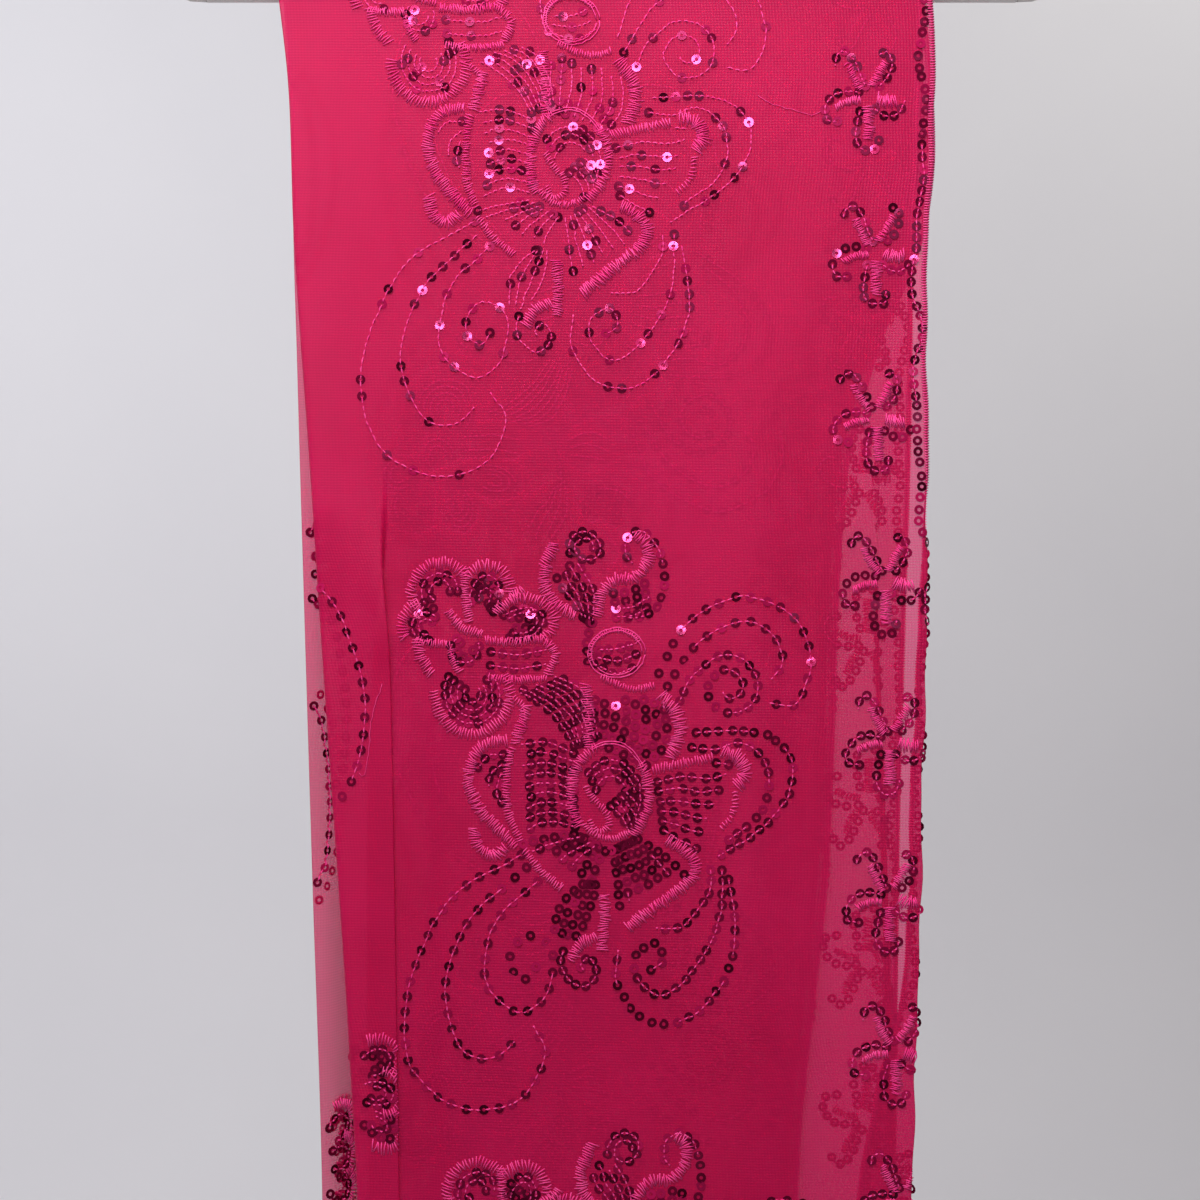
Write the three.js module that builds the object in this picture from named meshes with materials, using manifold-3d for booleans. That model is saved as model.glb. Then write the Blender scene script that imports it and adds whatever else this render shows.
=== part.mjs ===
// A sheer net shawl, folded in half along its length and hung over the bar of a plain clothes hanger.
// Millimetres, +Z up, +X to the right as seen from the front, which faces -Y.
// The origin is the point inside the top of the hook that a rail carries.
import * as THREE from "three";
import Module from "manifold-3d";
import { mergeVertices } from "three/addons/utils/BufferGeometryUtils.js";

const wasm = await Module();
wasm.setup();

// ---------- Hanger sizes ----------
const barRadius = 6;
const seatToBar = 190; // from the hook's bearing point down to the bar's centre line
const barHalfLength = 172;
const seamGap = 0.3; // between solids that meet
const armRise = 108; // from the bar's centre line up to the arms' centre line at the top
const cornerCentre = 176; // x of the centre of each lower corner
const cornerRadius = 15;
const topRadius = 28;
const neckRadius = 5.5;
const neckHeight = 16;
const hookThick = 7;
const hookRadius = 23; // of the hook's centre line

// ---------- Cloth sizes ----------
const wall = 1;
const plyGap = 0.5;
const innerPly = barRadius + seamGap + wall / 2; // middle of the ply that lies on the bar
const outerPly = innerPly + wall + plyGap;
const frontDrop = 900;
const backDrop = 880;
const frontSlant = 5; // how much lower the hem hangs at the right than at the middle
const backSlant = -7;
const halfWidth = 130; // half of the folded shawl, the run of the slants

// The front fall's lines, by depth below the bar's centre line: x of its left fold, the radius of the soft
// roll there, and x of the inner and the outer ply's selvedge.
const frontLines = [
  { depth: 0, leftFold: -141, roll: 0.75, innerEdge: 131, outerEdge: 134 },
  { depth: 45, leftFold: -136, roll: 1.3, innerEdge: 129, outerEdge: 136 },
  { depth: 110, leftFold: -133.5, roll: 2.1, innerEdge: 127, outerEdge: 132.5 },
  { depth: 210, leftFold: -126.5, roll: 2.6, innerEdge: 125.5, outerEdge: 132.7 },
  { depth: 344, leftFold: -117.5, roll: 2.6, innerEdge: 121.5, outerEdge: 130.5 },
  { depth: 512, leftFold: -107, roll: 2.6, innerEdge: 119.5, outerEdge: 126 },
  { depth: 900, leftFold: -100, roll: 2.6, innerEdge: 115, outerEdge: 122 },
];

// The pleat in its outer ply and the tuck in its inner one: x of the crease, and how far the cloth laps.
const pleatLines = [
  { depth: 0, crease: -95, lap: 0.4, tuckCrease: 104, tuckLap: 0.3 },
  { depth: 110, crease: -95, lap: 0.8, tuckCrease: 104, tuckLap: 0.4 },
  { depth: 210, crease: -94, lap: 4.6, tuckCrease: 104, tuckLap: 1 },
  { depth: 344, crease: -91.5, lap: 10, tuckCrease: 104, tuckLap: 3.5 },
  { depth: 512, crease: -89, lap: 12, tuckCrease: 100, tuckLap: 6 },
  { depth: 900, crease: -84, lap: 10.5, tuckCrease: 95, tuckLap: 9 },
];
const pleatRadius = 0.9; // of the two bends that make the pleat or the tuck
const pleatStart = 60; // depth where the pleat begins as a soft step
const pleatFull = 185; // depth from which it lies folded flat
const tuckStart = 150; // and the same for the tuck
const tuckFull = 330;

// Long soft ridges on the outer ply in front: where each runs, its height, half width, and fade-in depths.
const ridges = [
  { x: -38, drift: 10, height: 1.1, spread: 17, from: 40, to: 420 },
  { x: 14, drift: -8, height: 0.8, spread: 15, from: 120, to: 600 },
  { x: 57, drift: 6, height: 1.4, spread: 14, from: 60, to: 380 },
];
const swell = 2; // how far the middle of the front stands out over the back fall
const swellRun = 16; // width of the slope down to the flatter right side

// The back fall's lines: x of its left fold and of both selvedges, and the height of its waves.
const backLines = [
  { depth: 0, leftFold: -141, innerEdge: 131, outerEdge: 134, wave: 0 },
  { depth: 45, leftFold: -136.8, innerEdge: 122, outerEdge: 126, wave: 1.2 },
  { depth: 110, leftFold: -134.3, innerEdge: 108, outerEdge: 113, wave: 2.8 },
  { depth: 210, leftFold: -131.9, innerEdge: 96, outerEdge: 101, wave: 4.6 },
  { depth: 378, leftFold: -127, innerEdge: 89, outerEdge: 95, wave: 6.4 },
  { depth: 512, leftFold: -122.8, innerEdge: 85, outerEdge: 92, wave: 7 },
  { depth: 880, leftFold: -118, innerEdge: 82, outerEdge: 88, wave: 7.4 },
];
const waveCount = 5;
const waveWarp = 0.028; // makes the waves uneven in width
const waveSwing = 0.22; // and in height

const pink = new THREE.MeshStandardMaterial({ color: 0xd62464, roughness: 0.7, side: THREE.DoubleSide });
const white = new THREE.MeshStandardMaterial({ color: 0xe4e3e0, roughness: 0.45 });

const barZ = -seatToBar;
const group = new THREE.Group();

function addMesh(name, geometry, material) {
  const mesh = new THREE.Mesh(geometry, material);
  mesh.name = name;
  group.add(mesh);
  return mesh;
}

// ---------- Small helpers ----------
function smooth(from, to, value) {
  const share = Math.min(Math.max((value - from) / (to - from), 0), 1);
  return share * share * (3 - 2 * share);
}

// A column of a table of lines at any depth, on a smooth curve through its rows.
function lineAt(table, column, depth) {
  const last = table.length - 1;
  let row = 0;
  while (row < last - 1 && depth > table[row + 1].depth) row += 1;
  const above = table[row];
  const below = table[row + 1];
  const before = table[Math.max(row - 1, 0)];
  const after = table[Math.min(row + 2, last)];
  const run = below.depth - above.depth;
  const share = Math.min(Math.max((depth - above.depth) / run, 0), 1);
  const slopeIn = ((below[column] - before[column]) / (below.depth - before.depth)) * run;
  const slopeOut = ((after[column] - above[column]) / (after.depth - above.depth)) * run;
  const square = share * share;
  const cube = square * share;
  return (
    above[column] * (2 * cube - 3 * square + 1) +
    slopeIn * (cube - 2 * square + share) +
    below[column] * (3 * square - 2 * cube) +
    slopeOut * (cube - square)
  );
}

function linesAt(table, depth) {
  const lines = {};
  for (const column of Object.keys(table[0])) lines[column] = lineAt(table, column, depth);
  return lines;
}

// ---------- Cloth sections ----------
// A section is a list of (x, out) points from the outer ply's selvedge at the right, round the left fold,
// to the inner ply's selvedge. "out" is the distance from the bar's axis: forwards, over or behind it.

// How far the outer ply in front stands out beyond its lie on the bar.
function relief(x, depth) {
  const backEdge = lineAt(backLines, "outerEdge", depth);
  let out = swell * smooth(60, 420, depth) * smooth(backEdge + swellRun / 2, backEdge - swellRun / 2, x);
  for (const ridge of ridges) {
    const away = (x - ridge.x - (ridge.drift * depth) / frontDrop) / ridge.spread;
    out += ridge.height * smooth(ridge.from, ridge.to, depth) * Math.exp(-away * away);
  }
  return out;
}

// The left fold: a half turn from the outer ply to the inner one.
function addRoll(section, x, radius, steps) {
  for (let i = 0; i <= steps; i += 1) {
    const turn = (Math.PI * i) / steps;
    section.push(new THREE.Vector2(
      x + radius - radius * Math.sin(turn),
      innerPly + radius + radius * Math.cos(turn),
    ));
  }
}

// A pleat, walked from place: a bend that turns the cloth back, the lap, and a bend that turns it on again.
// way is the direction of the walk along x, rise the side that the lap folds to.
function addPleat(section, place, way, rise, turned, lap, bendSteps) {
  const bend = Math.PI * pleatRadius;
  const goOn = (length, heading) => {
    place.x += way * length * Math.cos(heading);
    place.y += rise * length * Math.sin(heading);
    section.push(place.clone());
  };
  for (let i = 0; i < bendSteps; i += 1) goOn(bend / bendSteps, (turned * (i + 0.5)) / bendSteps);
  goOn(lap, turned);
  for (let i = 0; i < bendSteps; i += 1) goOn(bend / bendSteps, turned * (1 - (i + 0.5) / bendSteps));
}

// Where that walk starts, so that the middle of the pleat comes to the given x.
function pleatEntry(middle, way, turned, lap) {
  const bendRun = (Math.PI * pleatRadius * Math.sin(turned)) / turned;
  return middle - way * (bendRun + (lap / 2) * Math.cos(turned));
}

function frontSection(depth) {
  const mainSteps = 14;
  const bendSteps = 4;
  const stripSteps = 3;
  const rollSteps = 6;
  const innerSteps = 4;
  const line = { ...linesAt(frontLines, depth), ...linesAt(pleatLines, depth) };
  const section = [];

  // The outer ply, from its selvedge to the pleat.
  const pleatTurned = Math.max(Math.PI * smooth(pleatStart, pleatFull, depth), 1e-3);
  const pleatX = pleatEntry(line.crease - line.lap / 2 - pleatRadius, -1, pleatTurned, line.lap);
  for (let i = 0; i <= mainSteps; i += 1) {
    const x = line.outerEdge + ((pleatX - line.outerEdge) * i) / mainSteps;
    section.push(new THREE.Vector2(x, outerPly + relief(x, depth)));
  }
  const place = section[mainSteps].clone();
  addPleat(section, place, -1, 1, pleatTurned, line.lap, bendSteps);

  // The strip to the left of the pleat, down to the roll at the fold.
  const rollTop = innerPly + 2 * line.roll;
  const stripEnd = line.leftFold + line.roll;
  for (let i = 1; i < stripSteps; i += 1) {
    const share = i / stripSteps;
    const out = place.y + (rollTop - place.y) * smooth(0, 1, share);
    section.push(new THREE.Vector2(place.x + (stripEnd - place.x) * share, out));
  }
  addRoll(section, line.leftFold, line.roll, rollSteps);

  // The inner ply, with its tuck.
  const tuckTurned = Math.max(Math.PI * smooth(tuckStart, tuckFull, depth), 1e-3);
  const tuckX = pleatEntry(line.tuckCrease, 1, tuckTurned, line.tuckLap);
  for (let i = 1; i <= innerSteps; i += 1) {
    section.push(new THREE.Vector2(stripEnd + ((tuckX - stripEnd) * i) / innerSteps, innerPly));
  }
  const tuckPlace = section[section.length - 1].clone();
  addPleat(section, tuckPlace, 1, -1, tuckTurned, line.tuckLap, bendSteps);
  section.push(new THREE.Vector2(line.innerEdge, tuckPlace.y));
  return section;
}

// The turn over the bar is the front section where the pleat hasn't begun.
function barSection() {
  const outerSteps = 6;
  const rollSteps = 5;
  const innerSteps = 4;
  const line = frontLines[0];
  const section = [];
  const foldX = line.leftFold + line.roll;
  for (let i = 0; i < outerSteps; i += 1) {
    section.push(new THREE.Vector2(line.outerEdge + ((foldX - line.outerEdge) * i) / outerSteps, outerPly));
  }
  addRoll(section, line.leftFold, line.roll, rollSteps);
  for (let i = 1; i <= innerSteps; i += 1) {
    section.push(new THREE.Vector2(foldX + ((line.innerEdge - foldX) * i) / innerSteps, innerPly));
  }
  return section;
}

// The middle between the back fall's two plies, at a share of the way from its left fold to its selvedges.
function backWave(share, height) {
  const phase = 2 * Math.PI * waveCount * (share + waveWarp * Math.sin(2 * Math.PI * share));
  const swing = 1 + waveSwing * Math.sin(2 * Math.PI * share + 0.8);
  return (innerPly + outerPly) / 2 + height * swing * (1 - Math.cos(phase));
}

function backSection(depth) {
  const steps = 32;
  const rollSteps = 4;
  const line = linesAt(backLines, depth);
  const half = (outerPly - innerPly) / 2;
  const foldX = line.leftFold + half;
  const span = line.outerEdge - foldX;
  const onPly = (share, side) => {
    const step = 1e-3;
    const slope = (backWave(share + step, line.wave) - backWave(share - step, line.wave)) / (2 * step * span);
    const length = Math.hypot(slope, 1);
    return new THREE.Vector2(
      foldX + span * share - (side * half * slope) / length,
      backWave(share, line.wave) + (side * half) / length,
    );
  };
  const section = [];
  for (let i = 0; i < steps; i += 1) section.push(onPly(1 - i / steps, 1));
  addRoll(section, line.leftFold, half, rollSteps);
  const innerShare = (line.innerEdge - foldX) / span;
  for (let i = 1; i <= steps; i += 1) section.push(onPly((innerShare * i) / steps, -1));
  return section;
}

// ---------- Cloth walls ----------
// Each point of a section with its normal, which points to the cloth's embroidered side.
function withNormals(section) {
  return section.map((point, i) => {
    const before = section[Math.max(i - 1, 0)];
    const after = section[Math.min(i + 1, section.length - 1)];
    const along = after.clone().sub(before).normalize();
    return { point, normal: new THREE.Vector2(along.y, -along.x) };
  });
}

// One closed wall round a grid of levels, each a list of { point, normal } in space. Levels run from the
// back hem over the bar to the front hem, so the faces on the normals' side point out.
function clothWall(levels) {
  const positions = [];
  const rows = levels.length;
  const columns = levels[0].length;
  for (const side of [1, -1]) {
    for (const level of levels) {
      for (const { point, normal } of level) {
        positions.push(...point.clone().addScaledVector(normal, (side * wall) / 2).toArray());
      }
    }
  }
  const outside = (i, j) => i * columns + j;
  const inside = (i, j) => (rows + i) * columns + j;
  const triangles = [];
  const addQuad = (a, b, c, d) => triangles.push(a, b, c, a, c, d);
  for (let i = 0; i < rows - 1; i += 1) {
    for (let j = 0; j < columns - 1; j += 1) {
      addQuad(outside(i, j), outside(i, j + 1), outside(i + 1, j + 1), outside(i + 1, j));
      addQuad(inside(i, j), inside(i + 1, j), inside(i + 1, j + 1), inside(i, j + 1));
    }
  }
  const last = columns - 1;
  for (let i = 0; i < rows - 1; i += 1) {
    addQuad(outside(i, 0), outside(i + 1, 0), inside(i + 1, 0), inside(i, 0));
    addQuad(outside(i, last), inside(i, last), inside(i + 1, last), outside(i + 1, last));
  }
  for (let j = 0; j < columns - 1; j += 1) {
    addQuad(outside(0, j), inside(0, j), inside(0, j + 1), outside(0, j + 1));
    addQuad(outside(rows - 1, j), outside(rows - 1, j + 1), inside(rows - 1, j + 1), inside(rows - 1, j));
  }
  const geometry = new THREE.BufferGeometry();
  geometry.setAttribute("position", new THREE.Float32BufferAttribute(positions, 3));
  geometry.setIndex(triangles);
  geometry.computeVertexNormals();
  return geometry;
}

// A level of a fall: side -1 is the front, 1 the back.
function fallLevel(section, depth, side, drop, slant) {
  return withNormals(section).map(({ point, normal }) => ({
    point: new THREE.Vector3(
      point.x,
      side * point.y,
      barZ - depth - (slant * point.x * depth) / (halfWidth * drop),
    ),
    normal: new THREE.Vector3(normal.x, side * normal.y, 0),
  }));
}

function barLevel(section, turn) {
  return withNormals(section).map(({ point, normal }) => ({
    point: new THREE.Vector3(point.x, point.y * Math.cos(turn), barZ + point.y * Math.sin(turn)),
    normal: new THREE.Vector3(normal.x, normal.y * Math.cos(turn), normal.y * Math.sin(turn)),
  }));
}

// Depths of a fall's levels: close together where the folds begin, then evenly down to the hem.
function fallDepths(drop, closeStep, closeEnd, wideSteps) {
  const depths = [];
  for (let depth = seamGap / 2; depth < closeEnd; depth += closeStep) depths.push(depth);
  for (let i = 0; i <= wideSteps; i += 1) depths.push(closeEnd + ((drop - closeEnd) * i) / wideSteps);
  return depths;
}

function frontFall() {
  const depths = fallDepths(frontDrop, 22, 220, 12);
  return clothWall(depths.map((d) => fallLevel(frontSection(d), d, -1, frontDrop, frontSlant)));
}

function backFall() {
  const depths = fallDepths(backDrop, 40, 160, 11).reverse();
  return clothWall(depths.map((d) => fallLevel(backSection(d), d, 1, backDrop, backSlant)));
}

function turnOverBar() {
  const steps = 10;
  const margin = seamGap / 2 / outerPly; // keeps the ends clear of the falls
  const section = barSection();
  const levels = [];
  for (let i = 0; i <= steps; i += 1) {
    levels.push(barLevel(section, margin + ((Math.PI - 2 * margin) * i) / steps));
  }
  return clothWall(levels);
}

// ---------- Hanger ----------
function roundSection(radius, sides) {
  const points = [];
  for (let i = 0; i < sides; i += 1) {
    const angle = (2 * Math.PI * i) / sides;
    points.push(new THREE.Vector2(radius * Math.cos(angle), radius * Math.sin(angle)));
  }
  return new THREE.Shape(points);
}

function tube(points, radius, sides, steps) {
  const path = new THREE.CatmullRomCurve3(points);
  const settings = { steps, extrudePath: path, bevelEnabled: false };
  return new THREE.ExtrudeGeometry(roundSection(radius, sides), settings);
}

// Points on an arc in the XZ plane, from one heading to another, turning left.
function arcPoints(centreX, centreZ, radius, fromHeading, toHeading, steps) {
  const points = [];
  for (let i = 0; i <= steps; i += 1) {
    const heading = fromHeading + ((toHeading - fromHeading) * i) / steps;
    points.push(new THREE.Vector3(
      centreX + radius * Math.sin(heading),
      0,
      centreZ - radius * Math.cos(heading),
    ));
  }
  return points;
}

// The arms' centre line: from the bar's right end round the corner, up to the top and down the other side.
function armPath() {
  const cornerZ = barZ + cornerRadius;
  const topZ = barZ + armRise - topRadius;
  const reach = Math.hypot(cornerCentre, topZ - cornerZ);
  const slope = Math.atan2(topZ - cornerZ, -cornerCentre);
  const heading = slope + Math.asin((cornerRadius - topRadius) / reach);
  const right = [
    new THREE.Vector3(barHalfLength + seamGap, 0, barZ),
    ...arcPoints(cornerCentre, cornerZ, cornerRadius, 0, heading, 6),
    ...arcPoints(0, topZ, topRadius, heading, Math.PI, 3),
  ];
  const left = right.slice(0, -1).reverse().map((point) => new THREE.Vector3(-point.x, 0, point.z));
  return [...right, ...left];
}

function solidOf(geometry) {
  const bare = geometry.clone();
  bare.deleteAttribute("normal");
  bare.deleteAttribute("uv");
  const merged = mergeVertices(bare, 1e-3);
  return new wasm.Manifold(new wasm.Mesh({
    numProp: 3,
    vertProperties: merged.attributes.position.array,
    triVerts: new Uint32Array(merged.index.array),
  }));
}

function geometryOf(solid) {
  const mesh = solid.getMesh();
  const geometry = new THREE.BufferGeometry();
  geometry.setAttribute("position", new THREE.BufferAttribute(mesh.vertProperties, 3));
  geometry.setIndex(new THREE.BufferAttribute(mesh.triVerts, 1));
  geometry.computeVertexNormals();
  return geometry;
}

function upright(radius, height, sides, bottomZ) {
  const cylinder = new THREE.CylinderGeometry(radius, radius, height, sides);
  cylinder.rotateX(Math.PI / 2);
  cylinder.translate(0, 0, bottomZ + height / 2);
  return cylinder;
}

const armTopZ = barZ + armRise;
const neckTopZ = armTopZ + barRadius + neckHeight;

function hangerArms() {
  const arms = solidOf(tube(armPath(), barRadius, 12, 84));
  const neck = solidOf(upright(neckRadius, neckTopZ - armTopZ, 16, armTopZ));
  return geometryOf(arms.add(neck));
}

function hangerBar() {
  const bar = new THREE.CylinderGeometry(barRadius, barRadius, 2 * barHalfLength, 24);
  bar.rotateZ(Math.PI / 2);
  bar.translate(0, 0, barZ);
  return bar;
}

// The hook: up from the neck, out to the right, round over the origin and down to its tip.
function hangerHook() {
  const eyeZ = hookThick / 2 - hookRadius;
  const joinHeading = THREE.MathUtils.degToRad(50);
  const tipHeading = THREE.MathUtils.degToRad(285);
  const points = [
    new THREE.Vector3(0, 0, neckTopZ + seamGap),
    new THREE.Vector3(0, 0, neckTopZ + seamGap + 3),
    new THREE.Vector3(2.5, 0, eyeZ - hookRadius - 6.5),
    new THREE.Vector3(9.5, 0, eyeZ - hookRadius + 1),
    ...arcPoints(0, eyeZ, hookRadius, joinHeading, tipHeading, 14),
  ];
  return tube(points, hookThick / 2, 10, 56);
}

addMesh("front_fall", frontFall(), pink);
addMesh("bar_turn", turnOverBar(), pink);
addMesh("back_fall", backFall(), pink);
addMesh("hanger_arms", hangerArms(), white);
addMesh("hanger_bar", hangerBar(), white);
addMesh("hanger_hook", hangerHook(), white);

export default group;
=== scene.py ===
import math

import bmesh
import bpy
import numpy as np
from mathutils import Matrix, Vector


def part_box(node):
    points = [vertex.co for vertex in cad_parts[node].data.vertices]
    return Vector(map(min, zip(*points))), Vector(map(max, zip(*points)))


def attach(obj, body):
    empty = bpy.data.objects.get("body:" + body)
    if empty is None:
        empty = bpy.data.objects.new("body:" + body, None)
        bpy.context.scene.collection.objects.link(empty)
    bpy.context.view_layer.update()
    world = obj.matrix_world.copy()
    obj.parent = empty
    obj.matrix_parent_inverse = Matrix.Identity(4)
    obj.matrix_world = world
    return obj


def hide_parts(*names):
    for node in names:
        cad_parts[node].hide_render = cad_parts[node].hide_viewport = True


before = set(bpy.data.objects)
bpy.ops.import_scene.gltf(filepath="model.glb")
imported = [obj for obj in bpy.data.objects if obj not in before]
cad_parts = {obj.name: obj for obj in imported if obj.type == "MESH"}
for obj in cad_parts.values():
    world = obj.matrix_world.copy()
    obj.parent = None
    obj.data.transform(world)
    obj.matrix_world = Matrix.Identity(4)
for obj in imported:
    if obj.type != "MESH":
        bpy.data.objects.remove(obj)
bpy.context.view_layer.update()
print("frame loaded")

# A sheer pink net shawl with sequins and machine embroidery, folded in half along its length and hung over
# the bar of a plastic hanger. Lengths are millimetres until a mesh is made.
mm = 0.001
draw = np.random.default_rng(11)

barLow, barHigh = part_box("hanger_bar")
barZ = (barLow.z + barHigh.z) / 2 / mm
barRadius = (barHigh.z - barLow.z) / 2 / mm

cloth = {
    "cutWidth": 550, "cutLength": 1800,
    "wall": 1,  # of the solids that the net stands for
    "seamGap": 0.3, "plyGap": 0.5, "frontDrop": 900, "backDrop": 880,
    "frontSlant": 5,  # how much lower the hem hangs at the right than at the middle
    "backSlant": -7, "slantRun": 130, "rowStep": 5, "backRowStep": 6.5, "barRows": 10,
    "backStops": 161,  # of a row on each ply of the back half
}
innerPly = barRadius + cloth["seamGap"] + cloth["wall"] / 2
outerPly = innerPly + cloth["wall"] + cloth["plyGap"]
middlePly = (innerPly + outerPly) / 2
overBar = middlePly * math.pi / 2  # from the top of the bar to its middle, along the cloth

# x of the lines of the front fall at each depth below the bar's centre line
frontLines = {
    "depth": [0, 45, 110, 210, 270, 344, 425, 470, 512, 900],
    "leftFold": [-141, -136, -133.5, -126.5, -122.6, -117.5, -111.8, -109.2, -107, -100],
    "roll": [0.75, 1.3, 2.1, 2.6, 2.6, 2.6, 2.6, 2.6, 2.6, 2.6],
    "innerEdge": [131, 129, 127, 125.5, 123.8, 121.5, 120.4, 120, 119.5, 115],
    "outerEdge": [134, 136, 132.5, 132.7, 132.2, 130.5, 128.8, 127, 126, 122],
    "turnedIn": [0.8, 0.8, 0.8, 1.2, 3, 4.2, 6.5, 17, 22, 26],  # of the selvedge, folded under
}
pleatLines = {
    "depth": [0, 110, 215, 280, 344, 512, 900],
    "crease": [-95, -95, -94.5, -93, -91.5, -89, -84],
    "lap": [0.4, 0.4, 0.6, 6, 10, 12, 10.5],
    "tuckCrease": [112, 112, 112, 112, 114, 118, 113],
    "tuckLap": [0.3, 0.3, 0.6, 1, 1.4, 2, 3],
}
backLines = {
    "depth": [0, 45, 80, 115, 150, 210, 378, 512, 880],
    "leftFold": [-141, -137.8, -137, -136.3, -135.2, -133.5, -128.4, -124.2, -119.4],
    "innerEdge": [131, 134, 134, 127, 112, 97, 89, 76, 69],
    "outerEdge": [134, 138, 138, 131, 116, 101, 93, 80, 73],
    "wave": [0, 0.8, 1.4, 2.4, 3.6, 5, 7.2, 8.5, 9.1],
}
bends = {
    "pleatRadius": 0.5,
    "pleat": (190, 300),  # depths between which it closes
    "tuck": (150, 330), "selvedgeRadius": 0.5, "selvedge": (160, 280), "waveCount": 5,
    "waveWarp": 0.028, "waveSwing": 0.22,
}
# of the right selvedge in front
ripple = {"height": 0.7, "wave": 11.5, "swell": 47, "fine": 0.4, "fineWave": 5.3, "full": 40}
# points of a row on the parts of the front half
frontStops = {"main": 55, "strip": 11, "flat": 50, "tail": 6}
# long soft ridges and troughs of the outer ply in front
creases = [
    {"x": -84, "drift": 10, "height": -2, "spread": 6.5, "top": 150, "full": 300},
    {"x": -38, "drift": 10, "height": 1.1, "spread": 17, "top": 40, "full": 420},
    {"x": 14, "drift": -8, "height": 0.8, "spread": 15, "top": 120, "full": 600},
    {"x": 57, "drift": 6, "height": 1.4, "spread": 14, "top": 60, "full": 380},
]
swell = {"height": 2, "run": 16, "top": 60, "full": 420}
crossCrease = {"depth": 277, "slope": 0.03, "height": 0.4, "spread": 5}  # left by the shawl's folding


def smooth(start, end, value):
    share = np.clip((value - start) / (end - start), 0, 1)
    return share * share * (3 - 2 * share)


def lineAt(table, column, depth):  # a smooth curve through the rows of a table
    depths, values = table["depth"], table[column]
    last = len(depths) - 1
    row = int(np.clip(np.searchsorted(depths, depth, side="left") - 1, 0, last - 1))
    before, after = max(row - 1, 0), min(row + 2, last)
    run = depths[row + 1] - depths[row]
    share = min(max((depth - depths[row]) / run, 0), 1)
    slopeIn = (values[row + 1] - values[before]) / (depths[row + 1] - depths[before]) * run
    slopeOut = (values[after] - values[row]) / (depths[after] - depths[row]) * run
    square, cube = share**2, share**3
    return (values[row] * (2 * cube - 3 * square + 1) + slopeIn * (cube - 2 * square + share)
            + values[row + 1] * (3 * square - 2 * cube) + slopeOut * (cube - square))


def linesAt(table, depth):
    return {column: lineAt(table, column, depth) for column in table if column != "depth"}


def relief(x, depth):  # how far the outer ply in front stands out beyond its lie on the bar
    backEdge = lineAt(backLines, "outerEdge", depth)
    half = swell["run"] / 2
    out = swell["height"] * smooth(swell["top"], swell["full"], depth)
    out = out * smooth(backEdge + half, backEdge - half, x)
    for crease in creases:
        away = (x - crease["x"] - crease["drift"] * depth / cloth["frontDrop"]) / crease["spread"]
        out = out + crease["height"] * smooth(crease["top"], crease["full"], depth) * np.exp(-away * away)
    away = (depth + crossCrease["slope"] * x - crossCrease["depth"]) / crossCrease["spread"]
    return out + crossCrease["height"] * np.exp(-away * away)


def roll(x, radius, start, end, steps):  # part of the half turn at the left fold
    turn = np.pi * np.linspace(start, end, steps + 1)
    return np.column_stack([x + radius - radius * np.sin(turn), innerPly + radius + radius * np.cos(turn)])


def walkBend(place, way, rise, turned, lap, radius, steps, lapSteps, goesOn=True):
    # a bend that turns the cloth back, the lap, and a bend that turns it on again
    piece = np.pi * radius / steps
    headings = [turned * (i + 0.5) / steps for i in range(steps)]
    lengths = [piece] * steps + [lap / lapSteps] * lapSteps
    headings += [turned] * lapSteps
    if goesOn:
        headings += [turned * (1 - (i + 0.5) / steps) for i in range(steps)]
        lengths += [piece] * steps
    sideways = way * np.multiply(lengths, np.cos(headings))
    outwards = rise * np.multiply(lengths, np.sin(headings))
    return place + np.cumsum(np.column_stack([sideways, outwards]), axis=0)


def bendRun(radius, turned):
    return np.pi * radius * np.sin(turned) / turned


def rippleAt(depth):
    wave = math.sin(depth / ripple["wave"] + 0.5) * math.sin(depth / ripple["swell"] + 0.4)
    fine = ripple["fine"] * math.sin(depth / ripple["fineWave"])
    return ripple["height"] * (wave + fine) * smooth(0, ripple["full"], depth)


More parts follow.
